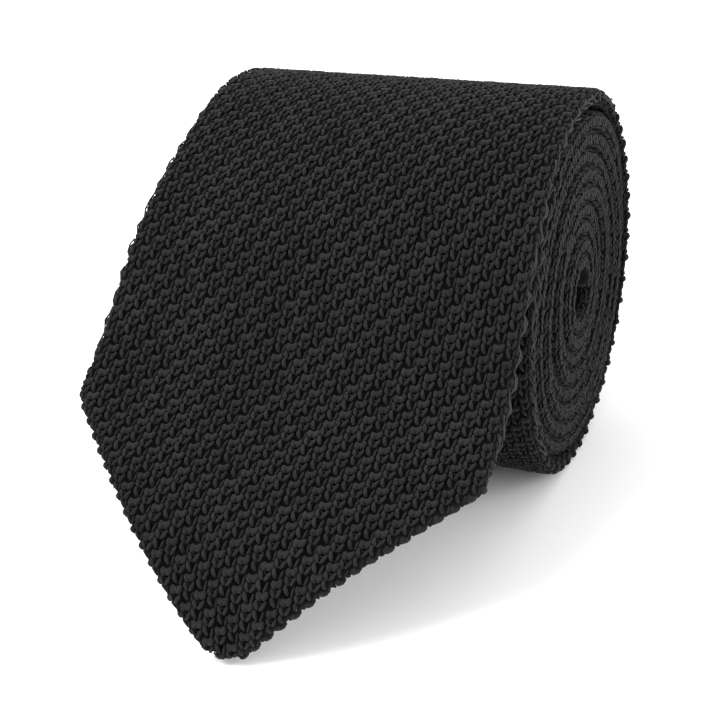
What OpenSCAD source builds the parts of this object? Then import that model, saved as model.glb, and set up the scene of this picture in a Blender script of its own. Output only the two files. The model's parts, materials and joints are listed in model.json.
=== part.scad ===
// Knitted necktie with a pointed end, rolled up on its narrow end.
// X runs along the axis of the roll, the pointed end lies towards -Y, Z is up.
// The strip is a flattened tube of knit: a front layer and a folded back layer.

/* [Strip] */
// Width of the folded strip
tie_w = 75; // [60:1:90]
// Thickness of the folded strip, both layers
strip_t = 3.2; // [2.6:0.1:3.6]
// Air between the front and the back layer
layer_gap = 0.1; // [0.05:0.01:0.2]
// Length of the pointed end, from its corners to where its two edges would meet
point_len = 44.6; // [36:0.1:50]
// Radius of the rounded tip
tip_r = 4.7; // [3:0.1:6]

/* [Roll] */
// Outer radius at the top, where the blade comes over
roll_r = 40.3; // [38:0.1:44]
// Radius of the hole left at the core
core_r = 3.3; // [2.5:0.1:5]
// Air between neighbouring turns
turn_gap = 0.34; // [0.3:0.01:0.5]
// Extra slack under the outermost turn, where the keeper loop lies
outer_slack = 1.0; // [0.9:0.1:1.4]
// How far the bottom of the roll is pressed flat
flat_h = 0.5; // [0.3:0.1:0.8]
// Distance of the roll's axis behind the middle of the part
roll_y = 26.9; // [20:0.1:32]
// Turns of the broad half that are wound up
broad_turns = 3.1; // [2.6:0.1:3.6]

/* [Free end] */
// Length over the top before the blade leaves the round
leave_s = 27; // [24:1:29]
// Steepest slope of the blade in front of the roll, degrees
steep = 46; // [45.5:0.5:47]
// Slope where the blade flattens, just past the corners, degrees
shallow = 31; // [30.5:0.5:32]
// Slope that the curled tip runs out to, degrees
tip_slope = 82; // [80:1:86]
// Lift of the left edge and drop of the right edge where the blade hangs free
twist_z = 5; // [0:0.5:6]
// Forward skew of the left edge and back skew of the right edge
twist_y = 4.5; // [0:0.5:6]

/* [Bends] */
// Angle behind the top where the outer turn can lift away, degrees
crown_angle = 25; // [15:1:35]
// Length over the top where the blade bends as it leaves the roll
drape_s = 30; // [28:1:34]
// Length over the top where the point folds up, at its corners
point_s = 83.5; // [80:0.5:88]
// Air round each rounded bend
bend_gap = 0.35; // [0.3:0.01:0.5]

/* [Sewn pieces] */
// Air under each piece that is sewn to the roll
sewn_gap = 0.02; // [0.01:0.01:0.03]
// Air under the linings and seams of the free end
lining_gap = 0.05; // [0.04:0.01:0.08]

/* [Hidden] */

knit = [0.16, 0.16, 0.16];
knit_back = [0.13, 0.13, 0.13];
satin = [0.06, 0.06, 0.07];
thread = [0.1, 0.1, 0.1];
ribbon = [0.2, 0.2, 0.21];

half_t = strip_t / 2;
front_in = half_t - layer_gap / 2;
back_out = half_t + layer_gap / 2;
pitch = strip_t + turn_gap;
turns = (roll_r - outer_slack - strip_t - core_r) / pitch;
end_a = 360 * turns;
neck_a = 360 * broad_turns;
seam_a = 3;
step_a = 12;
roll_z = wound_r(180) - flat_h;
// Half of the angle between the two edges of the point, and the middle and end of its round tip
half_tip = atan(tie_w / 2 / point_len);
round_s = point_s + point_len - tip_r / sin(half_tip);
tip_s = round_s + tip_r;
free_step = 1;
bend_r = half_t + bend_gap;
lining_t = 0.25;
thread_t = 0.2;
keeper_t = 0.45;

// Outer radius of the wound strip, at an angle wound back from the top
function wound_r(a) = roll_r - pitch * a / 360 - outer_slack * min(1, a / 360);

// Smooth step from 0 to 1
function ease(t) = let (u = min(1, max(0, t))) u * u * (3 - 2 * u);

// Slope of the blade below level at a length past the top, degrees
round_slope = leave_s / roll_r * 180 / PI;
slope_marks = [[leave_s, round_slope], [50, steep], [60, steep], [90, shallow], [130, tip_slope]];
function mark_slope(s, i) = slope_marks[i][1]
    + (slope_marks[i + 1][1] - slope_marks[i][1])
    * ease((s - slope_marks[i][0]) / (slope_marks[i + 1][0] - slope_marks[i][0]));
function slope(s) = s < leave_s ? s / roll_r * 180 / PI
    : s < 50 ? mark_slope(s, 0) : s < 90 ? (s < 60 ? steep : mark_slope(s, 2)) : mark_slope(s, 3);

// Outer line of the free end, one point per step, as [y, z]
free_line = [for (s = 0, y = 0, z = roll_z + roll_r; s <= tip_s + 2 * free_step;
    y = y - free_step * cos(slope(s + free_step / 2)),
    z = z - free_step * sin(slope(s + free_step / 2)), s = s + free_step) [y, z]];

// Point of the strip in its side view, depth n under the outer face
function free_point(s, n) = let (i = floor(s / free_step), t = s / free_step - i,
    p = free_line[i] * (1 - t) + free_line[i + 1] * t, a = slope(s))
    [p[0] + n * sin(a), p[1] - n * cos(a)];
function wound_point(a, n) = [(wound_r(a) - n) * sin(a), roll_z + (wound_r(a) - n) * cos(a)];
// The same on the flat facets of the roll, so that sewn pieces keep an even gap
function facet_point(a, n) = let (i = floor(a / step_a), t = a / step_a - i)
    wound_point(i * step_a, n) * (1 - t) + wound_point((i + 1) * step_a, n) * t;
function strip_point(s, n) = s < 0 ? wound_point(-s / roll_r * 180 / PI, n) : free_point(s, n);

// How much of the twist has set in at a length past the top
function twist(s) = ease((s - 23) / 47);
// Half of the width at a length past the top, running to the round tip
function half_w(s) = s < point_s ? tie_w / 2
    : s < round_s + tip_r * sin(half_tip) ? tie_w / 2 * (point_s + point_len - s) / point_len
    : max(0.8, sqrt(max(0, tip_r * tip_r - (s - round_s) * (s - round_s))));

// Angles of a wound stretch, with both ends exact
function stretch(a0, a1) = concat([a0],
    [for (a = step_a * ceil((a0 + 0.5) / step_a); a < a1 - 0.5; a = a + step_a) a], [a1]);

// Wound stretch between two depths, as wide as w, round x
module wound(a0, a1, n0, n1, w = tie_w, x = 0) {
    at = stretch(a0, a1);
    outline = concat([for (a = at) facet_point(a, n0)],
        [for (i = [len(at) - 1 : -1 : 0]) facet_point(at[i], n1)]);
    translate([x - w / 2, roll_y, 0]) rotate([90, 0, 90]) linear_extrude(w) polygon(outline);
}

// Lofted stretch of the free end, round x: stations are [s, outer depth, inner depth, half width].
// Both faces of a stretch are split along the same diagonal, so its thickness stays even.
module lofted(stations, x = 0) {
    n = len(stations);
    ring = [for (q = stations) each [for (c = [[-1, 1], [1, 1], [1, 2], [-1, 2]])
        let (p = strip_point(q[0], q[c[1]]), e = x + c[0] * q[3], g = twist(q[0]) * e / (tie_w / 2))
        [e, roll_y + p[0] + g * twist_y, p[1] - g * twist_z]]];
    sides = [for (i = [0 : n - 2], k = [0 : 3]) let (a = 4 * i + k, b = 4 * i + (k + 1) % 4)
        each k == 0 ? [[a, b, a + 4], [b, b + 4, a + 4]] : [[a, b, b + 4], [a, b + 4, a + 4]]];
    last = 4 * (n - 1);
    caps = [[2, 1, 0], [3, 2, 0], [last, last + 1, last + 2], [last, last + 2, last + 3]];
    polyhedron(ring, concat(sides, caps));
}

// Rounded end of the moving side of a bend, and the hollow end that takes it
round_steps = [for (b = [12 : 13 : 90]) b];
function round_front(s) = [for (b = round_steps)
    [s - half_t * cos(b), half_t - half_t * sin(b), front_in, tie_w / 2]];
function round_back(s) = [for (b = round_steps)
    [s - half_t * cos(b), back_out, half_t + half_t * sin(b), tie_w / 2]];
hollow_end = asin(half_t / bend_r) - 4;
hollow_steps = [for (b = [4 : (hollow_end - 4) / 4 : hollow_end + 0.01]) b];
function hollow_front(s) = [for (b = hollow_steps)
    [s - bend_r * cos(b), 0, min(front_in, half_t - bend_r * sin(b)), tie_w / 2]];
function hollow_back(s) = [for (b = hollow_steps)
    [s - bend_r * cos(b), max(back_out, half_t + bend_r * sin(b)), strip_t, tie_w / 2]];
loft_step = 3;
function run(s0, s1, n0, n1) = [for (s = concat([s0],
    [for (k = [ceil(s0 / loft_step + 0.2) : floor(s1 / loft_step - 0.2)]) k * loft_step], [s1]))
    [s, n0, n1, half_w(s)]];

crown_s = -crown_angle * PI / 180 * roll_r;
// Length from a bend to where the layers have their whole thickness
bend_run = 1.2;

module moving_front(s0, s1) {
    lofted(concat(round_front(s0), run(s0 + bend_run, s1 - bend_r - bend_run, 0, front_in),
        hollow_front(s1)));
}

module moving_back(s0, s1) {
    lofted(concat(round_back(s0), run(s0 + bend_run, s1 - bend_r - bend_run, back_out, strip_t),
        hollow_back(s1)));
}

// A wound layer from the hollow end behind the crown to the neck seam, flat where it rests
module wound_layer(hollow, n_face, n_back, side) {
    inner = side == 0 ? n_back : n_face;
    outer = side == 0 ? n_face : n_back;
    near = strip_point(hollow[len(hollow) - 1][0], outer);
    far = strip_point(crown_s - bend_r - 0.3, inner);
    ends = concat([far], [for (q = hollow) strip_point(q[0], side == 0 ? q[2] : q[1])], [near]);
    at = stretch(crown_angle + 5, neck_a);
    difference() {
        translate([-tie_w / 2, roll_y, 0]) rotate([90, 0, 90]) linear_extrude(tie_w)
            polygon(concat(ends, [for (a = at) wound_point(a, outer)],
                [for (i = [len(at) - 1 : -1 : 0]) wound_point(at[i], inner)]));
        translate([-tie_w, roll_y - roll_r, -2 * roll_r]) cube(2 * roll_r);
        translate([0, roll_y - roll_r, -2 * roll_r]) cube(2 * roll_r);
    }
}

module blade_front_wound() color(knit) wound_layer(hollow_front(crown_s), 0, front_in, 0);
module blade_back_wound() color(knit_back) wound_layer(hollow_back(crown_s), back_out, strip_t, 1);
module tail_front() color(knit) wound(neck_a + seam_a, end_a, 0, front_in);
module tail_back() color(knit_back) wound(neck_a + seam_a, end_a, back_out, strip_t);
module neck_seam() color(knit_back) wound(neck_a, neck_a + seam_a, 0, strip_t);

// Stitched edge that closes the narrow end, at the core
module core_stitch() color(thread) wound(end_a, end_a + 8, 0.2, strip_t - 0.2, tie_w - 1);

// Depths of the pieces sewn to the back of the roll: the first ones, and those over the seam
sewn_n = strip_t + sewn_gap;
over_n = sewn_n + thread_t + sewn_gap;

module tail_lining() color(satin) wound(end_a - 250, end_a - 10, sewn_n, sewn_n + lining_t, tie_w - 9);

module tail_bar_tack() color(thread) wound(end_a - 275, end_a - 255, sewn_n, sewn_n + thread_t, 6);

module blade_bar_tack() color(thread)
    wound(crown_angle + 12, crown_angle + 14, over_n, over_n + 0.4, 9);

// Slip stitch up the middle of the back
module back_seam_wound() color(thread)
    wound(crown_angle + 8, end_a - 277, sewn_n, sewn_n + thread_t, 1.4);

// The keeper loop and its tacks, on the back of the outermost turn
keeper_a0 = 104;
keeper_a1 = 119;
keeper_w = 50;

module keeper_loop() color(knit) wound(keeper_a0, keeper_a1, over_n, over_n + keeper_t, keeper_w);

module keeper_tacks() color(thread) for (x = [-1, 1])
    wound(keeper_a0 + 1, keeper_a1 - 1, sewn_n, sewn_n + thread_t, 2, x * (keeper_w / 2 - 1.5));

// Plain woven label with nothing on it, sewn on above the keeper loop
label_a0 = 132;
label_a1 = 168;
label_w = 42;

module blank_label() color(ribbon) wound(label_a0, label_a1, over_n, over_n + lining_t, label_w);

stitch_n = over_n + lining_t + sewn_gap;
module label_stitches() color(thread) for (x = [-1, 1])
    wound(label_a0 + 2, label_a1 - 2, stitch_n, stitch_n + 0.12, 0.8, x * (label_w / 2 - 1.4));

module care_tag() color(ribbon) wound(label_a1 + 6, label_a1 + 26, over_n, over_n + lining_t, 12);

module crown_front() color(knit) moving_front(crown_s, drape_s);
module crown_back() color(knit_back) moving_back(crown_s, drape_s);
free_n = strip_t + lining_gap;
module crown_seam() color(thread) lofted([for (q = run(crown_s + 3, drape_s - 5, 0, 0))
    [q[0], free_n, free_n + thread_t, 0.7]]);
module drape_front() color(knit) moving_front(drape_s, point_s);
module drape_back() color(knit_back) moving_back(drape_s, point_s);

// Lining over the back of the blade, above the point
hem = 4.5;
module drape_lining() color(satin) lofted([for (q = run(drape_s + 9, point_s - 5.5, 0, 0))
    [q[0], free_n, free_n + lining_t, tie_w / 2 - hem]]);

function point_run(n0, n1) = concat(run(point_s + bend_run, round_s, n0, n1),
    [for (b = [20, 40, 57, 72, 90]) let (s = round_s + tip_r * sin(b)) [s, n0, n1, half_w(s)]]);
module point_front() color(knit) lofted(concat(round_front(point_s), point_run(0, front_in)));
module point_back() color(knit_back) lofted(concat(round_back(point_s), point_run(back_out, strip_t)));
module point_lining() color(satin) lofted([for (q = run(point_s + 3.5, tip_s - 8.5, 0, 0))
    [q[0], free_n, free_n + lining_t, q[3] - hem]]);

// Hem stitches along both edges of the point, over the edge of the lining
hem_n = free_n + lining_t + lining_gap;
module point_hem_stitches() color(thread) for (side = [-1, 1], s = [point_s + 6 : 4 : tip_s - 12])
    lofted([for (q = [s - 0.25, s + 0.25]) [q, hem_n, hem_n + 0.15, 0.8]], side * (half_w(s) - hem));

blade_front_wound();
blade_back_wound();
tail_front();
tail_back();
neck_seam();
core_stitch();
tail_lining();
tail_bar_tack();
blade_bar_tack();
back_seam_wound();
keeper_loop();
keeper_tacks();
blank_label();
label_stitches();
care_tag();
crown_front();
crown_back();
crown_seam();
drape_front();
drape_back();
drape_lining();
point_front();
point_back();
point_lining();
point_hem_stitches();
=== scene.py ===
"""A rolled knitted necktie with a pointed end, dressed over its CAD frame.

The tie is one long folded tube of tuck-stitch knit. Its cloth is laid out flat, u across and s
along it (s = 0 where it passes over the top of the roll, growing towards the tip), folded round
its two edges and the point, and then bent along the side view of the strip.
"""
import json
import math
import bpy
import bmesh
import numpy as np
from mathutils import Matrix, Vector


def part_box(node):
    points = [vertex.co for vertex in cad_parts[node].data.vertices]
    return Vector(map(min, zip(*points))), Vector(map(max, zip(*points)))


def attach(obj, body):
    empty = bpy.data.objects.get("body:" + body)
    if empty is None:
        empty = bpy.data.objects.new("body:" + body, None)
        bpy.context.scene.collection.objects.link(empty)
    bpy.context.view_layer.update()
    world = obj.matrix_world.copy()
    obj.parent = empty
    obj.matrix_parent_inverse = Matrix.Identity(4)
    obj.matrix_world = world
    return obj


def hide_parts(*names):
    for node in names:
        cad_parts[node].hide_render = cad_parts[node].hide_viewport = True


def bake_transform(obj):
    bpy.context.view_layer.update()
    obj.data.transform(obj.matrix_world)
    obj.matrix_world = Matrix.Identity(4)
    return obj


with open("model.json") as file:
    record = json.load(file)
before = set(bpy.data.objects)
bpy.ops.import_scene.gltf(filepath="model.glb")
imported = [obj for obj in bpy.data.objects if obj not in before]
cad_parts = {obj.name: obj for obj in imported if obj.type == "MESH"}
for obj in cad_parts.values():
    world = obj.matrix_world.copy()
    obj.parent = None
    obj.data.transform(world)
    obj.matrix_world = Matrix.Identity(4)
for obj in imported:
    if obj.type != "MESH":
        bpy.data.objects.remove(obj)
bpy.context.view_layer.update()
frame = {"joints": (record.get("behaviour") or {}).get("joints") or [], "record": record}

MM = 0.001

# ---------------------------------------------------------------- the strip's driving sizes
HALF_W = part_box("blade_front_wound")[1].x
THICK = 3.2 * MM
FOLD_R = THICK / 2
FOLD_A = 1.3 * MM      # how far in from the edge the cloth starts to turn under
FOLD_LEN = (FOLD_R + FOLD_A) / 2
POINT_LEN = 44.6 * MM
TIP_R = 6.1 * MM
ROLL_R = 40.3 * MM
TURN_PITCH = 3.54 * MM
OUTER_SLACK = 1.0 * MM
CORE_R = 3.3 * MM
FLAT_H = 0.5 * MM
ROLL_Y = frame["record"]["mounts"][0]["pos_m"][1]
LEAVE_S = 27 * MM
POINT_S = 83.5 * MM
DRAPE_S = 30 * MM
CROWN_S = -math.radians(25) * ROLL_R
TWIST_Z = 5.33 * MM
TWIST_Y = 4.09 * MM
TWIST_LEFT = (13.8 * MM, 43.4 * MM)     # where each side edge starts to turn, and over what length
TWIST_RIGHT = (23.0 * MM, 47.0 * MM)
# Way across the slanting edges of the point, and the middle and end of its round tip
EDGE_N = np.array([POINT_LEN, HALF_W]) / math.hypot(POINT_LEN, HALF_W)
ROUND_S = POINT_S + POINT_LEN - TIP_R / EDGE_N[1]
TIP_S = ROUND_S + TIP_R
# Slopes of the free end below level: length past the top, degrees
SLOPE_MARKS = [(50 * MM, 46), (60 * MM, 46), (90 * MM, 31), (130 * MM, 82)]

# ---------------------------------------------------------------- the knit
WALE = 2.14 * MM       # from one column of stitches to the next
REPEAT = 5.10 * MM     # length of the pattern along a column, three stitches
PHASE = 2.17 * MM      # shift of the pattern that puts a slanting row of stitches on the point's edges
FRONT_WALES = 17       # columns on each side of the middle one
CUSHION = 1.0 * MM     # depth of the ground of the knit under the tops of the stitches
GROUND_T = 0.4 * MM
SCALLOP = 0.42 * MM    # rise and fall of the folded edges from stitch to stitch
HEM = 5 * MM           # cloth turned under at the folded edges
PROUD = 0.25 * MM      # how far the tops of the stitches stand over the nominal face
CHAIN_OUT = 0.9 * MM   # how far round the fold the chain of loops runs, past the edge of the flat cloth
CHAIN_PITCH = 4.1 * MM
STITCH_PLAY = 0.065 * MM   # how far a stitch strays from its place


def ease(t):
    t = np.clip(t, 0, 1)
    return t * t * (3 - 2 * t)


def wound_radius(a):
    """Outer radius of the strip at an angle, in radians, wound back from the top."""
    turn = a / (2 * math.pi)
    return ROLL_R - TURN_PITCH * turn - OUTER_SLACK * np.minimum(1, turn)


ROLL_Z = float(wound_radius(np.array(math.pi))) - FLAT_H
TURNS = (ROLL_R - OUTER_SLACK - THICK - CORE_R) / TURN_PITCH


def free_slope(s):
    marks = [(LEAVE_S, math.degrees(LEAVE_S / ROLL_R)), *SLOPE_MARKS]
    slope = np.degrees(np.clip(s, 0, LEAVE_S) / ROLL_R)
    for (s0, a0), (s1, a1) in zip(marks, marks[1:]):
        slope = slope + (a1 - a0) * ease((s - s0) / (s1 - s0))
    return np.radians(slope)


def side_view():
    """Tables of length, y, z and slope along the outer face, from the core to past the tip."""
    a = np.radians(np.arange(0, 360 * TURNS + 10, 1.0))
    r = wound_radius(a)
    arc = np.concatenate([[0], np.cumsum((r[1:] + r[:-1]) / 2 * np.diff(a))])
    s = np.arange(0, TIP_S + 10 * MM, 0.5 * MM)
    slope = free_slope(s)
    mid = (slope[1:] + slope[:-1]) / 2
    y = np.concatenate([[0], np.cumsum(-np.cos(mid) * np.diff(s))])
    z = np.concatenate([[0], np.cumsum(-np.sin(mid) * np.diff(s))])
    return (np.concatenate([-arc[::-1], s[1:]]),
            np.concatenate([(r * np.sin(a))[::-1], y[1:]]) + ROLL_Y,
            np.concatenate([(r * np.cos(a))[::-1], z[1:] + ROLL_R]) + ROLL_Z,
            np.concatenate([-a[::-1], slope[1:]]))


LINE_S, LINE_Y, LINE_Z, LINE_A = side_view()


def at_angle(degrees):
    """Length s of the place wound back from the top by that angle."""
    return float(np.interp(math.radians(degrees), -LINE_A[::-1], LINE_S[::-1]))


CORE_S = at_angle(360 * TURNS)
PRESSED_S = at_angle(335)      # from here in, the folds are pressed flat by the outer turn


def place(u, s, depth):
    """A point of the strip: u across, s along, depth under the outer face, in the frame."""
    a = np.interp(s, LINE_S, LINE_A)
    wound = 1 - ease((s + 20 * MM) / (20 * MM))
    shift = wound * (0.35 * np.sin(s / (41 * MM) + 1.3) + 0.25 * np.sin(s / (14.3 * MM))) * MM
    swell = wound * 0.10 * MM * np.sin(s / (19 * MM) + u / (23 * MM))
    left, right = (ease((s - start) / length) for start, length in (TWIST_LEFT, TWIST_RIGHT))
    g = (left + right) / 2 * u / HALF_W - (left - right) / 2
    y = np.interp(s, LINE_S, LINE_Y) + (depth - swell) * np.sin(a) + g * TWIST_Y
    z = np.interp(s, LINE_S, LINE_Z) - (depth - swell) * np.cos(a) - g * TWIST_Z
    return np.stack([u + shift, y, np.maximum(z, 0)], -1)


def past_fold(u, s):
    """How far the flat cloth runs past the start of its fold, and the way across the fold."""
    side = np.abs(u)
    core_u = HALF_W - TIP_R
    bend_s = POINT_S - TIP_R * (1 - EDGE_N[0]) / EDGE_N[1]
    run = np.hypot(core_u, ROUND_S - bend_s)
    along = np.clip(((core_u - side) * EDGE_N[1] + (s - bend_s) * EDGE_N[0]) / run, 0, 1)
    near_u = np.where(s < bend_s, core_u, core_u * (1 - along))
    near_s = np.where(s < bend_s, s, bend_s + (ROUND_S - bend_s) * along)
    away_u, away_s = side - near_u, s - near_s
    inside = np.where(s < bend_s, away_u, away_u * EDGE_N[0] + away_s * EDGE_N[1]) <= 0
    gap = np.maximum(np.hypot(away_u, away_s), 1e-9)
    out_u = np.where(inside, 0, away_u / gap) * np.where(u < 0, -1, 1)
    return np.where(inside, -1, gap - TIP_R + FOLD_A), out_u, np.where(inside, 0, away_s / gap)


def calm(u, s, least):
    """1 on the faces, the outer turn and the free end, falling to least at the folds of the turns inside."""
    pressed = 1 - ease((s - PRESSED_S) / (10 * MM))
    return 1 - (1 - least) * pressed * ease(past_fold(u, s)[0] / (1.2 * MM) + 0.5)


def folded(u, s, height):
    """Flat cloth, and height above it, to (u, s, depth) on the folded strip."""
    q, out_u, out_s = past_fold(u, s)
    turn = np.clip(q / FOLD_LEN, 0, math.pi)
    back = np.maximum(q - math.pi * FOLD_LEN, 0)
    rise = np.cos(math.pi * u / WALE) * np.cos(2 * math.pi * (s - PHASE) / REPEAT)
    height = calm(u, s, 0.15) * (height + PROUD + SCALLOP * rise * np.sin(turn) ** 2)
    move = np.where(q > 0, FOLD_A * np.sin(turn) - back - q, 0) + height * np.sin(turn)
    depth = FOLD_R * (1 - np.cos(turn)) - height * np.cos(turn)
    return u + out_u * move, s + out_s * move, depth


# ---------------------------------------------------------------- mesh helpers
def new_object(name, mesh):
    made = bpy.data.objects.new(name, mesh)
    bpy.context.scene.collection.objects.link(made)
    return made


def mesh_object(name, points, faces, material, smooth=True):
    mesh = bpy.data.meshes.new(name)
    mesh.from_pydata([tuple(p) for p in points], [], faces)
    mesh.polygons.foreach_set("use_smooth", [smooth] * len(mesh.polygons))
    mesh.materials.append(material)
    return new_object(name, mesh)


# ---------------------------------------------------------------- shaders
class Value:
    """A socket that can be used in an expression."""

    def __init__(self, tree, socket):
        self.tree, self.socket = tree, socket

    def maths(self, operation, *others):
        return self.tree.add("ShaderNodeMath", {"operation": operation}, [self, *others])

    def __add__(self, other):
        return self.maths("ADD", other)

    def __sub__(self, other):
        return self.maths("SUBTRACT", other)

    def __mul__(self, other):
        return self.maths("MULTIPLY", other)

    def __rmul__(self, other):
        return self.maths("MULTIPLY", other)


class Finish:
    """A material's node tree, with one method for every node."""

    def __init__(self, name):
        self.material = bpy.data.materials.new(name)
        self.material.use_nodes = True
        self.nodes = self.material.node_tree.nodes
        self.shader = self.nodes["Principled BSDF"]

    def add(self, kind, settings=None, inputs=None, output=0):
        node = self.nodes.new(kind)
        for key, value in (settings or {}).items():
            setattr(node, key, value)
        pairs = inputs.items() if isinstance(inputs, dict) else enumerate(inputs or [])
        for key, value in pairs:
            self.put(node.inputs[key], value)
        return Value(self, node.outputs[output])

    def put(self, socket, value):
        if isinstance(value, Value):
            self.material.node_tree.links.new(value.socket, socket)
        else:
            socket.default_value = value

    def set(self, **values):
        for key, value in values.items():
            self.put(self.shader.inputs[key.replace("_", " ")], value)

    def mix(self, amount, dark, light):
        return self.add("ShaderNodeMix", {"data_type": "RGBA"},
                        {0: amount, 6: (*dark, 1), 7: (*light, 1)}, output=2)


def knit_finish(name, dark, light):
    """Matte yarn: a fibre nap, a tone that differs from stitch to stitch, and painted shade that makes it darker
    deep down.
    """
    f = Finish(name)
    here = f.add("ShaderNodeTexCoord", output=3)
    nap = f.add("ShaderNodeTexNoise", inputs={"Vector": here, "Scale": 2600, "Detail": 3, "Roughness": 0.65})
    cloud = f.add("ShaderNodeTexNoise", inputs={"Vector": here, "Scale": 60, "Detail": 2})
    tone = f.add("ShaderNodeAttribute", {"attribute_name": "tone"}, output=2)
    height = f.add("ShaderNodeAttribute", {"attribute_name": "height"}, output=2)
    relief = f.add("ShaderNodeAttribute", {"attribute_name": "relief"}, output=2)
    # painted shade: lit darkens the colour where the yarn lies deep under the tops of the stitches
    lit = f.add("ShaderNodeMapRange", {"interpolation_type": "SMOOTHSTEP"},
                {"Value": height, "From Min": -0.85, "From Max": 0.02, "To Min": 0.04, "To Max": 1.0})
    amount = (1.5 * relief * (nap - 0.5) + 0.3 * cloud + 0.18 * tone + 0.33) * lit
    f.set(Base_Color=f.mix(amount, dark, light), Roughness=0.95, Sheen_Weight=0.05,
          Sheen_Roughness=0.5, Specular_IOR_Level=0.08,
          Normal=f.add("ShaderNodeBump", inputs={"Strength": 0.5, "Distance": 0.00025, "Height": nap}))
    return f.material


def woven_finish(name, dark, light, scale, rough):
    f = Finish(name)
    here = f.add("ShaderNodeTexCoord", output=3)
    twill = f.add("ShaderNodeTexWave", {"bands_direction": "DIAGONAL"},
                  {"Vector": here, "Scale": scale, "Distortion": 0.6, "Detail": 1})
    cloud = f.add("ShaderNodeTexNoise", inputs={"Vector": here, "Scale": 90})
    f.set(Base_Color=f.mix(0.6 * twill + 0.4 * cloud, dark, light), Roughness=rough, Specular_IOR_Level=0.2,
          Normal=f.add("ShaderNodeBump", inputs={"Strength": 0.3, "Distance": 0.00005, "Height": twill}))
    return f.material


KNIT = knit_finish("charcoal_knit", (0.0015, 0.0015, 0.0015), (0.0200, 0.0200, 0.0203))
# The ground of the knit is coloured far darker than the yarn of the stitches: painted shade in the holes between
# them.
SHADE_DARK_GROUND = knit_finish("knit_ground_painted_shade", (0.0015, 0.0015, 0.0015), (0.0034, 0.0034, 0.0034))
# The fold chain is coloured twice as light as the knit: painted highlight of the light caught along the folded
# edges.
CHAIN_YARN_HIGHLIT = knit_finish("fold_chain_painted_highlight", (0.010, 0.010, 0.010), (0.042, 0.042, 0.0425))
LINING = woven_finish("satin_lining", (0.0035, 0.0035, 0.004), (0.0085, 0.0085, 0.0092), 900, 0.5)
THREAD = woven_finish("sewing_thread", (0.0035, 0.0035, 0.0035), (0.010, 0.010, 0.010), 1500, 0.9)
RIBBON = woven_finish("plain_ribbon", (0.028, 0.028, 0.03), (0.064, 0.064, 0.068), 1200, 0.6)


# ---------------------------------------------------------------- the ground of the knit
def half_at(s, inset):
    """Half of the width at s of the strip's outline, drawn in by inset."""
    slant = (HALF_W * EDGE_N[0] + (POINT_S - s) * EDGE_N[1] - inset) / EDGE_N[0]
    if s > ROUND_S + (TIP_R - inset) * EDGE_N[1]:
        slant = math.sqrt(max((TIP_R - inset) ** 2 - (s - ROUND_S) ** 2, 0))
    return max(min(HALF_W - inset, slant), 0.01 * MM)


def ring_at(s, wall, over, under):
    """Cross-section of the folded tube at s, of its outer skin or of the one a wall further in."""
    in_a, in_r = FOLD_A - 0.1 * MM - wall, FOLD_R - 0.6 * MM - wall
    top = half_at(s, FOLD_A)
    right = [(half_at(s, FOLD_A - in_a * math.sin(b)), FOLD_R - in_r * math.cos(b))
             for b in np.radians(np.linspace(20, 160, 8))]
    inner = top - 1.5 * MM
    face = [(u, over + wall) for u in np.linspace(-inner, inner, 10)]
    back = [(u, THICK - under - wall) for u in np.linspace(inner, -inner, 10)]
    return face + right + back + [(-u, depth) for u, depth in right[::-1]]


def ground(name, s0, s1, step, bare=lambda s: (0, 0)):
    """The dense ground that the stitches stand on, a closed tube of cloth folded flat.

    bare(s) is how far its face and its under side stand up where they carry no stitches."""
    stations = np.linspace(s0, s1, max(2, int(math.ceil((s1 - s0) / step))) + 1)
    layers = [[place(*np.array([(u, s, d) for u, d in ring_at(s, wall, *(CUSHION - up for up in bare(s)))]).T)
               for s in stations] for wall in (0, GROUND_T)]
    around = len(layers[0][0])
    count = len(stations)
    points = np.concatenate([p for layer in layers for p in layer])
    faces = []
    for layer in range(2):
        for i in range(count - 1):
            for k in range(around):
                a = (layer * count + i) * around + k
                b = (layer * count + i) * around + (k + 1) % around
                faces.append((a, b, b + around, a + around) if layer else (b, a, a + around, b + around))
    for i in (0, count - 1):
        for k in range(around):
            a, b = i * around + k, i * around + (k + 1) % around
            c, d = a + count * around, b + count * around
            faces.append((a, b, d, c) if i == 0 else (b, a, c, d))
    return mesh_object(name, points, faces, SHADE_DARK_GROUND)


# ---------------------------------------------------------------- the stitches
def yarn(work, stations, sides):
    """One leg of a stitch: stations of (u, s, top, radius) in mm, closed to a point at both ends."""
    middles = [Vector((u, s, top - radius)) for u, s, top, radius in stations]
    rings = []
    for i, middle in enumerate(middles):
        along = (middles[min(i + 1, len(middles) - 1)] - middles[max(i - 1, 0)]).normalized()
        across = Vector((-along.y, along.x, 0)).normalized()
        up = across.cross(along) * (-1 if across.cross(along).z < 0 else 1)
        radius = stations[i][3]
        rings.append([work.verts.new(middle + radius * (math.cos(b) * across + math.sin(b) * up))
                      for b in (2 * math.pi * k / sides for k in range(sides))])
    for first, second in zip(rings, rings[1:]):
        for k in range(sides):
            n = (k + 1) % sides
            work.faces.new((first[k], first[n], second[n], second[k]))
    for ring, end, inner in ((rings[0], 0, 1), (rings[-1], -1, -2)):
        away = (middles[end] - middles[inner]).normalized() * stations[end][3] * 0.7
        tip = work.verts.new(middles[end] + away)
        for k in range(sides):
            work.faces.new((ring[k], ring[(k + 1) % sides], tip))


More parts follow.
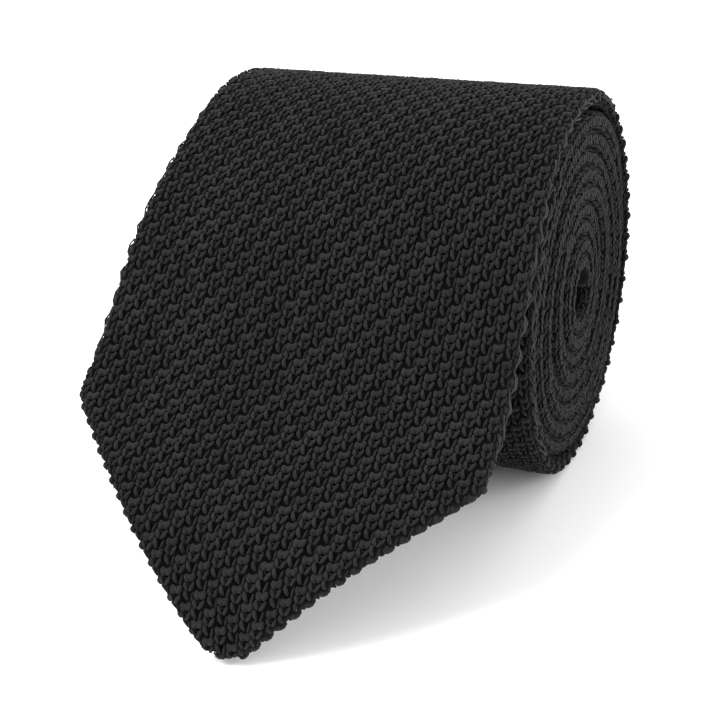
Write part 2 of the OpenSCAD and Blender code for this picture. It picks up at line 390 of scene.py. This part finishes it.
# Legs of the three stitches of a repeat, across from the middle of a column: (u, s, top, radius), mm
CROWNED_LEFT = [(0.64, -0.52, -0.18, 0.34), (0.58, -0.16, 0.00, 0.48),
                (0.48, 0.24, 0.00, 0.50), (0.28, 0.56, -0.14, 0.38)]
CROWNED_RIGHT = [(0.72, -0.92, -0.18, 0.33), (0.61, -0.56, 0.00, 0.48),
                 (0.48, -0.10, 0.00, 0.50), (0.26, 0.34, -0.14, 0.40)]
PLAIN_LEFT = [(0.78, 0.86, -0.26, 0.22), (0.69, 1.24, -0.01, 0.33),
              (0.50, 1.66, 0.00, 0.35), (0.26, 2.12, -0.18, 0.26)]
PLAIN_RIGHT = [(0.84, 0.60, -0.24, 0.20), (0.72, 1.04, -0.03, 0.27),
               (0.46, 1.62, -0.01, 0.29), (0.20, 2.12, -0.20, 0.24)]
TUCKED_LEFT = [(0.72, 2.30, -0.28, 0.22), (0.62, 2.78, 0.02, 0.34),
               (0.42, 3.30, 0.03, 0.35), (0.10, 3.86, -0.24, 0.24)]
TUCKED_RIGHT = [(0.78, 2.32, -0.38, 0.16), (0.76, 2.85, -0.16, 0.19),
                (0.68, 3.45, -0.14, 0.20), (0.52, 3.98, -0.34, 0.17)]
SADDLE = [(-0.44, -0.02, -0.06, 0.44), (0.00, -0.20, -0.03, 0.46), (0.44, -0.34, -0.06, 0.44)]
SINKER = [(-0.60, 0.95, -0.66, 0.20), (0.00, 1.20, -0.50, 0.28), (0.60, 0.95, -0.66, 0.20)]
CHAIN = [(0.70, -1.90, 0.02, 0.13), (0.36, -0.70, 0.26, 0.16), (0.14, 0.90, 0.28, 0.16), (0.02, 2.10, 0.04, 0.12)]
SLIP = [(-0.30, -0.80, -0.02, 0.10), (0.00, 0.00, 0.16, 0.13), (0.30, 0.80, -0.02, 0.10)]


def unit_object(name, legs):
    """A small mesh to repeat, from legs of (side, stations, sides of its yarn)."""
    work = bmesh.new()
    for side, stations, sides in legs:
        yarn(work, [(side * u, s, top, radius) for u, s, top, radius in stations], sides)
    bmesh.ops.scale(work, vec=Vector((MM, MM, MM)), verts=work.verts)
    bmesh.ops.recalc_face_normals(work, faces=work.faces)
    mesh = bpy.data.meshes.new(name)
    work.to_mesh(mesh)
    work.free()
    mesh.polygons.foreach_set("use_smooth", [True] * len(mesh.polygons))
    return new_object(name, mesh)


def knitting_tree():
    """Puts the stitch unit on each point of a flat lattice, with small differences."""
    tree = bpy.data.node_groups.new("knitting", "GeometryNodeTree")
    face = tree.interface
    face.new_socket("Lattice", in_out="INPUT", socket_type="NodeSocketGeometry")
    face.new_socket("Stitch", in_out="INPUT", socket_type="NodeSocketObject")
    face.new_socket("Looseness", in_out="INPUT", socket_type="NodeSocketFloat")
    face.new_socket("Seed", in_out="INPUT", socket_type="NodeSocketInt")
    face.new_socket("Material", in_out="INPUT", socket_type="NodeSocketMaterial")
    face.new_socket("Knit", in_out="OUTPUT", socket_type="NodeSocketGeometry")

    def add(kind, settings=None, inputs=None):
        node = tree.nodes.new(kind)
        for key, value in (settings or {}).items():
            setattr(node, key, value)
        for key, value in (inputs or {}).items():
            if isinstance(value, bpy.types.NodeSocket):
                tree.links.new(value, node.inputs[key])
            else:
                node.inputs[key].default_value = value
        return node

    given = add("NodeGroupInput").outputs
    scatter = add("FunctionNodeRandomValue", {"data_type": "FLOAT_VECTOR"},
                  {"Min": (-1, -1, -1), "Max": (1, 1, 1), "Seed": given["Seed"]})
    loose = add("ShaderNodeVectorMath", {"operation": "SCALE"},
                {0: scatter.outputs["Value"], "Scale": given["Looseness"]})
    moved = add("GeometryNodeSetPosition", None, {"Geometry": given["Lattice"], "Offset": loose.outputs[0]})
    spin = add("FunctionNodeRandomValue", {"data_type": "FLOAT"}, {2: -0.09, 3: 0.09, "Seed": given["Seed"]})
    turn = add("ShaderNodeCombineXYZ", None, {"Z": spin.outputs[1]})
    size = add("FunctionNodeRandomValue", {"data_type": "FLOAT"}, {2: 0.96, 3: 1.07, "Seed": given["Seed"]})
    unit = add("GeometryNodeObjectInfo", None, {"Object": given["Stitch"]})
    laid = add("GeometryNodeInstanceOnPoints", None,
               {"Points": moved.outputs[0], "Instance": unit.outputs["Geometry"],
                "Rotation": turn.outputs[0], "Scale": size.outputs[1]})
    shade = add("FunctionNodeRandomValue", {"data_type": "FLOAT"}, {"Seed": given["Seed"]})
    toned = add("GeometryNodeStoreNamedAttribute", {"data_type": "FLOAT", "domain": "INSTANCE"},
                {"Geometry": laid.outputs[0], "Name": "tone", "Value": shade.outputs[1]})
    real = add("GeometryNodeRealizeInstances", None, {"Geometry": toned.outputs[0]})
    dyed = add("GeometryNodeSetMaterial", None, {"Geometry": real.outputs[0], "Material": given["Material"]})
    add("NodeGroupOutput", None, {0: dyed.outputs[0]})
    return tree


# One repeat of a column: a full crowned stitch, a plain V and a tucked V with a hole at its right
UNIT = unit_object("stitch_unit", [(-1, CROWNED_LEFT, 6), (1, CROWNED_RIGHT, 6), (-1, PLAIN_LEFT, 5),
                                   (1, PLAIN_RIGHT, 5), (-1, TUCKED_LEFT, 5), (1, TUCKED_RIGHT, 4),
                                   (1, SADDLE, 6), (1, SINKER, 4)])
SLIP_UNIT = unit_object("slip_unit", [(1, SLIP, 4)])
CHAIN_UNIT = unit_object("chain_unit", [(-1, CHAIN, 4), (1, CHAIN, 4)])
KNITTING = knitting_tree()


def laid_out(name, points, unit, material, looseness, seed, mapping, painted_fold_shade=lambda u, s: 0):
    """Copies of a unit on points of the flat cloth, brought into place by mapping(u, s, height)."""
    mesh = bpy.data.meshes.new(name + "_lattice")
    mesh.from_pydata([(u, s, 0) for u, s in points], [], [])
    flat = new_object(name + "_lattice", mesh)
    modifier = flat.modifiers.new("knitting", "NODES")
    modifier.node_group = KNITTING
    sockets = {item.name: item.identifier for item in KNITTING.interface.items_tree if item.in_out == "INPUT"}
    for key, value in (("Stitch", unit), ("Looseness", looseness), ("Seed", seed), ("Material", material)):
        modifier[sockets[key]] = value
    graph = bpy.context.evaluated_depsgraph_get()
    laid = bpy.data.meshes.new_from_object(flat.evaluated_get(graph), depsgraph=graph)
    bpy.data.objects.remove(flat)
    co = np.zeros(len(laid.vertices) * 3)
    laid.vertices.foreach_get("co", co)
    u, s, height = co.reshape(-1, 3).T
    laid.vertices.foreach_set("co", mapping(u, s, height).ravel())
    # The height attribute feeds the painted shade of the knit finish; the lowering given by the last argument
    # adds painted shade on the stitches turned under past the fold.
    for key, values in (("height", (height - painted_fold_shade(u, s)) * calm(u, s, 0.2) / MM), ("relief", calm(u, s, 0.25))):
        laid.attributes.new(key, "FLOAT", "POINT").data.foreach_set("value", values)
    laid.update()
    return new_object(name, laid)


def lattice(s0, s1, first, last, back_to):
    """Points of the half-drop lattice in a stretch, columns first to last on each side."""
    points = []
    for column in range(-last, last + 1):
        if abs(column) < first:
            continue
        u = column * WALE
        drop = PHASE + (0.5 * REPEAT if column % 2 else 0)
        for row in range(math.ceil((s0 - drop) / REPEAT), math.ceil((s1 - drop) / REPEAT)):
            s = row * REPEAT + drop
            if past_fold(np.array(u), np.array(s))[0] < math.pi * FOLD_LEN + back_to:
                points.append((u, s))
    return points


def knitted(name, s0, s1, seed, first=0, last=FRONT_WALES + 2, back_to=0.0):
    """The stitches of a stretch of the strip, knitted flat, then folded and bent into place."""
    # The last mapping lowers the stored height past the fold's apex: painted shade on the stitches turned under.
    made = laid_out(name, lattice(s0, s1, first, last, back_to), UNIT, KNIT, STITCH_PLAY, seed,
                    lambda u, s, height: place(*folded(u, s, height)),
                    lambda u, s: 0.4 * MM * ease((past_fold(u, s)[0] / FOLD_LEN - 1.3) / 1.0))
    made.data.flip_normals()
    return made


def knitted_back(name, s0, s1, seed):
    """Stitches on the under side of the strip, between its two hems."""
    points = [(u, s) for u, s in lattice(s0, s1, 0, FRONT_WALES, 0.0)
              if abs(u) < half_at(s, HEM + 1.5 * MM)]
    made = laid_out(name, points, UNIT, KNIT, STITCH_PLAY, seed,
                    lambda u, s, height: place(-u, s, THICK + PROUD + height))
    made.data.flip_normals()
    return made


def fold_chain(name, s0, s1):
    """The chain of raised loops that runs down both folded edges."""
    loops = [(side * (HALF_W + CHAIN_OUT), s) for side in (-1, 1)
             for s in np.arange(s0 + 2 * MM, min(s1, POINT_S - 4 * MM), CHAIN_PITCH)]
    chain = laid_out(name, loops, CHAIN_UNIT, CHAIN_YARN_HIGHLIT, 0.10 * MM, 51,
                     lambda u, s, height: place(*folded(u, s, height)))
    chain.data.flip_normals()
    return chain


def sewn(node, points, depth, seed):
    """Slip stitches of thread on the under side of the strip, at that depth under its face."""
    return laid_out(node + "_piece", points, SLIP_UNIT, THREAD, 0.08 * MM, seed,
                    lambda u, s, height: place(u, s, depth + height))


def slab(name, material, s0, s1, half, depth, thick, middle=0.0, step=2.0 * MM):
    """A thin strip laid along the cloth: half its width (a size, or a function of s), and its depths."""
    rows = []
    for s in np.linspace(s0, s1, max(2, int(math.ceil((s1 - s0) / step)) + 1)):
        across = np.linspace(-1, 1, 9) * (half(s) if callable(half) else half)
        u = np.concatenate([across, across[::-1]]) + middle
        rows.append(place(u, np.full(18, s), np.repeat([depth, depth + thick], 9)))
    faces = [((i * 18) + (k + 1) % 18, i * 18 + k, i * 18 + 18 + k, i * 18 + 18 + (k + 1) % 18)
             for i in range(len(rows) - 1) for k in range(18)]
    last = (len(rows) - 1) * 18
    faces += [(k, k + 1, 16 - k, 17 - k) for k in range(8)]
    faces += [(last + k + 1, last + k, last + 17 - k, last + 16 - k) for k in range(8)]
    return mesh_object(name, np.concatenate(rows), faces, material)


# ---------------------------------------------------------------- camera, light and floor
def look(camera_at, azimuth, elevation, roll):
    back = Vector((math.sin(azimuth) * math.cos(elevation), -math.cos(azimuth) * math.cos(elevation),
                   math.sin(elevation)))
    right = Vector((math.cos(azimuth), math.sin(azimuth), 0))
    up = back.cross(right)
    turned = [math.cos(roll) * right + math.sin(roll) * up, math.cos(roll) * up - math.sin(roll) * right, back]
    return Matrix([[v[i] for v in turned] + [camera_at[i]] for i in range(3)] + [[0, 0, 0, 1]])


def set_camera():
    data = bpy.data.cameras.new("camera")
    data.sensor_width = 36
    data.lens = 74.34
    data.clip_start, data.clip_end = 0.01, 10
    camera = new_object("camera", data)
    camera.matrix_world = look((109.32 * MM, ROLL_Y - 272.33 * MM, 153.49 * MM),
                               math.radians(24.10), math.radians(24.93), math.radians(-2.70))
    bpy.context.scene.camera = camera


def set_light(name, size, power, at, aim):
    data = bpy.data.lights.new(name, "AREA")
    data.shape, data.size, data.energy = "DISK", size, power
    light = new_object(name, data)
    turned = (Vector(at) - Vector(aim)).to_track_quat("Z", "Y").to_matrix().to_4x4()
    light.matrix_world = Matrix.Translation(at) @ turned


def set_stage():
    floor_finish = Finish("pale_floor")
    floor_finish.set(Base_Color=(0.90, 0.90, 0.90, 1), Roughness=0.6)
    size = 3.0
    floor = mesh_object("floor", [(-size, -size, -0.0002), (size, -size, -0.0002), (size, size, -0.0002),
                                  (-size, size, -0.0002)], [(0, 1, 2, 3)], floor_finish.material, smooth=False)
    world = bpy.data.worlds.new("studio")
    world.use_nodes = True
    world.node_tree.nodes["Background"].inputs[0].default_value = (1, 1, 1, 1)
    world.node_tree.nodes["Background"].inputs[1].default_value = 1.33
    bpy.context.scene.world = world
    bpy.context.scene.view_settings.view_transform = "Standard"
    set_light("key", 0.6, 11.2, (-0.45, -0.35, 0.75), (0, 0, 0.03))
    set_light("side", 0.6, 4.0, (0.8, 0.0, 0.35), (0, 0.02, 0.04))


# ---------------------------------------------------------------- making the tie
set_camera()
set_stage()

REAR_CUT = at_angle(92)
LAP_END = at_angle(410)
CROWN_CUT = 6 * MM
DRAPE_CUT = 57 * MM

UNDER = THICK + 0.05 * MM      # depth at which linings and stitches lie on the under side
SEWN = THICK + 0.30 * MM       # and that of ribbons sewn over the linings


def cut_length(s0, s1, depth):
    """Length of a strip of cloth that lies at that depth from s0 to s1."""
    s = np.linspace(s0, s1, 200)
    return float(np.linalg.norm(np.diff(place(0 * s, s, 0 * s + depth), axis=0), axis=1).sum())


def joint_of(name):
    return next(j for j in frame["joints"] if j["name"] == name)


def bends(piece, joint_name, s):
    """Works out the strip's direction at a joint, then bakes the piece's transform; no bending is set up."""
    joint = joint_of(joint_name)
    a = float(free_slope(np.array(s))) if s > 0 else s / ROLL_R
    tangent = Vector((0, -math.cos(a), -math.sin(a)))
    axis = Vector(joint["axis"]).normalized()
    tangent = (tangent - axis * tangent.dot(axis)).normalized()
    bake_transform(piece)


def on_roll(piece, slot, *nodes):
    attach(piece, "roll")
    if nodes:
        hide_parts(*nodes)
    return piece


def filled_out(s):
    """Between two turns the cloth carries no stitches here, and stands as high as their tops."""
    face = 0.85 * MM * (1 - ease((s - LAP_END + 12 * MM) / (12 * MM)))
    under = 0.85 * MM * (1 - ease((s - REAR_CUT + 8 * MM) / (8 * MM)))
    return face, under


tube = on_roll(ground("wound_tube", CORE_S, REAR_CUT, 2.2 * MM, filled_out), "knit_face",
               "blade_front_wound", "blade_back_wound", "tail_front", "tail_back")
lap = np.linspace(LAP_END, REAR_CUT, 4)
turns = [on_roll(knitted("lap_stitches_%d" % (i + 1), lap[i], lap[i + 1], 11 + i), "knit_face")
         for i in range(3)]
inner = np.linspace(CORE_S + REPEAT, LAP_END, 3)
turns += [on_roll(knitted("inner_edge_stitches_%d" % (i + 1), inner[i], inner[i + 1], 21 + i,
                          first=FRONT_WALES), "knit_face") for i in range(2)]

turns.append(on_roll(fold_chain("lap_fold_chain", at_angle(330), at_angle(230)), "knit_face"))

# Trim on the under side of the wound length, most of it shut between two turns
END = 360 * TURNS


def roll_slab(node, slot, material, back_from, back_to, half, depth, thick, cloth=False):
    """A strip on the wound length, between two angles wound back from the top."""
    s0, s1 = at_angle(back_to), at_angle(back_from)
    piece = on_roll(slab(node + "_piece", material, s0, s1, half, depth, thick), slot, node)
    if cloth:
        cut_length(s0, s1, depth)


roll_slab("tail_lining", "satin_lining", LINING, END - 250, END - 10, 33 * MM, UNDER, 0.2 * MM, cloth=True)
roll_slab("tail_bar_tack", "thread", THREAD, END - 275, END - 255, 3 * MM, UNDER, 0.18 * MM)
roll_slab("blade_bar_tack", "thread", THREAD, 37, 39, 4.5 * MM, SEWN, 0.3 * MM)
roll_slab("keeper_loop", "ribbon", RIBBON, 104, 119, 25 * MM, SEWN, 0.4 * MM)
roll_slab("blank_label", "ribbon", RIBBON, 132, 168, 21 * MM, SEWN, 0.2 * MM, cloth=True)
roll_slab("care_tag", "ribbon", RIBBON, 174, 194, 6 * MM, SEWN, 0.2 * MM, cloth=True)
roll_slab("core_stitch", "thread", THREAD, END - 1, END + 7, HALF_W - 1.2 * MM, 0.4 * MM, THICK - 0.8 * MM)
roll_slab("neck_seam", "knit_back", SHADE_DARK_GROUND, 1116, 1119, HALF_W - 1 * MM, 0.5 * MM, THICK - 1 * MM)


def line_of(back_from, back_to, pitch, u=0.0):
    return [(u, s) for s in np.arange(at_angle(back_to), at_angle(back_from), pitch)]


on_roll(sewn("back_seam_wound", line_of(33, END - 277, 2.6 * MM), UNDER, 41), "thread", "back_seam_wound")
on_roll(sewn("label_stitches", line_of(134, 166, 2.2 * MM, -19.6 * MM) + line_of(134, 166, 2.2 * MM, 19.6 * MM),
             SEWN + 0.2 * MM, 42), "thread", "label_stitches")
on_roll(sewn("keeper_tacks", line_of(105, 118, 1.6 * MM, -23.5 * MM) + line_of(105, 118, 1.6 * MM, 23.5 * MM),
             SEWN + 0.4 * MM, 43), "thread", "keeper_tacks")
cut_length(CORE_S, REAR_CUT, FOLD_R)

# The free end in three stretches, each with a joint inside it
POINT_AREA = 2 * (2 * HALF_W * (POINT_S - DRAPE_CUT) + HALF_W * POINT_LEN)
stretches = [
    ("crown", REAR_CUT, CROWN_CUT, "crown_lift", CROWN_S, CROWN_S - 9 * MM, CROWN_CUT),
    ("drape", CROWN_CUT, DRAPE_CUT, "drape_lift", DRAPE_S, CROWN_CUT, DRAPE_S + 12 * MM),
    ("point", DRAPE_CUT, TIP_S - 1 * MM, "point_lift", POINT_S, DRAPE_CUT + 21 * MM, POINT_S + 5 * MM),
]


for name, s0, s1, joint, hinge_s, back0, back1 in stretches:
    base = ground(name + "_tube", s0, s1, 2 * MM)
    stop = s1 if name != "point" else TIP_S + 4 * MM
    pieces = [knitted(name + "_stitches", s0, stop, 31, last=FRONT_WALES + 5, back_to=HEM),
              knitted_back(name + "_back_stitches", back0, back1, 32),
              fold_chain(name + "_fold_chain", max(s0, -24 * MM), s1)]
    for piece in [base, *pieces]:
        bends(piece, joint, hinge_s)
    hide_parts(name + "_front", name + "_back")
    area = POINT_AREA if name == "point" else None
    cut_length(s0, s1, FOLD_R)


def lined(name, s0, s1, half, joint, hinge_s):
    piece = slab(name + "_piece", LINING, s0, s1, half, UNDER, 0.2 * MM, step=1.5 * MM)
    bends(piece, joint, hinge_s)
    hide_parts(name)
    widest = 2 * (half(s0) if callable(half) else half)
    cut_length(s0, s1, UNDER)


lined("drape_lining", DRAPE_S + 9 * MM, POINT_S - 5.5 * MM, 33 * MM, "drape_lift", DRAPE_S)
LINED_S0, LINED_S1 = POINT_S + 3.5 * MM, TIP_S - 8.5 * MM
LINED_AREA = (sum(2 * half_at(s, 4.5 * MM) for s in np.linspace(LINED_S0, LINED_S1, 41)) / 41
              * (LINED_S1 - LINED_S0))
lined("point_lining", LINED_S0, LINED_S1, lambda s: half_at(s, 4.5 * MM), "point_lift", POINT_S)

seam = sewn("crown_seam", [(0.0, s) for s in np.arange(CROWN_S + 3 * MM, 25 * MM, 2.6 * MM)], SEWN, 44)
bends(seam, "crown_lift", CROWN_S)
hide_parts("crown_seam")
hem_points = [(side * half_at(s, 5.2 * MM), s) for side in (-1, 1)
              for s in np.arange(POINT_S + 5 * MM, TIP_S - 9 * MM, 2.4 * MM)]
hem = sewn("point_hem_stitches", hem_points, UNDER + 0.2 * MM, 45)
bends(hem, "point_lift", POINT_S)
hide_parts("point_hem_stitches")
for unit in (UNIT, CHAIN_UNIT, SLIP_UNIT):
    bpy.data.objects.remove(unit)
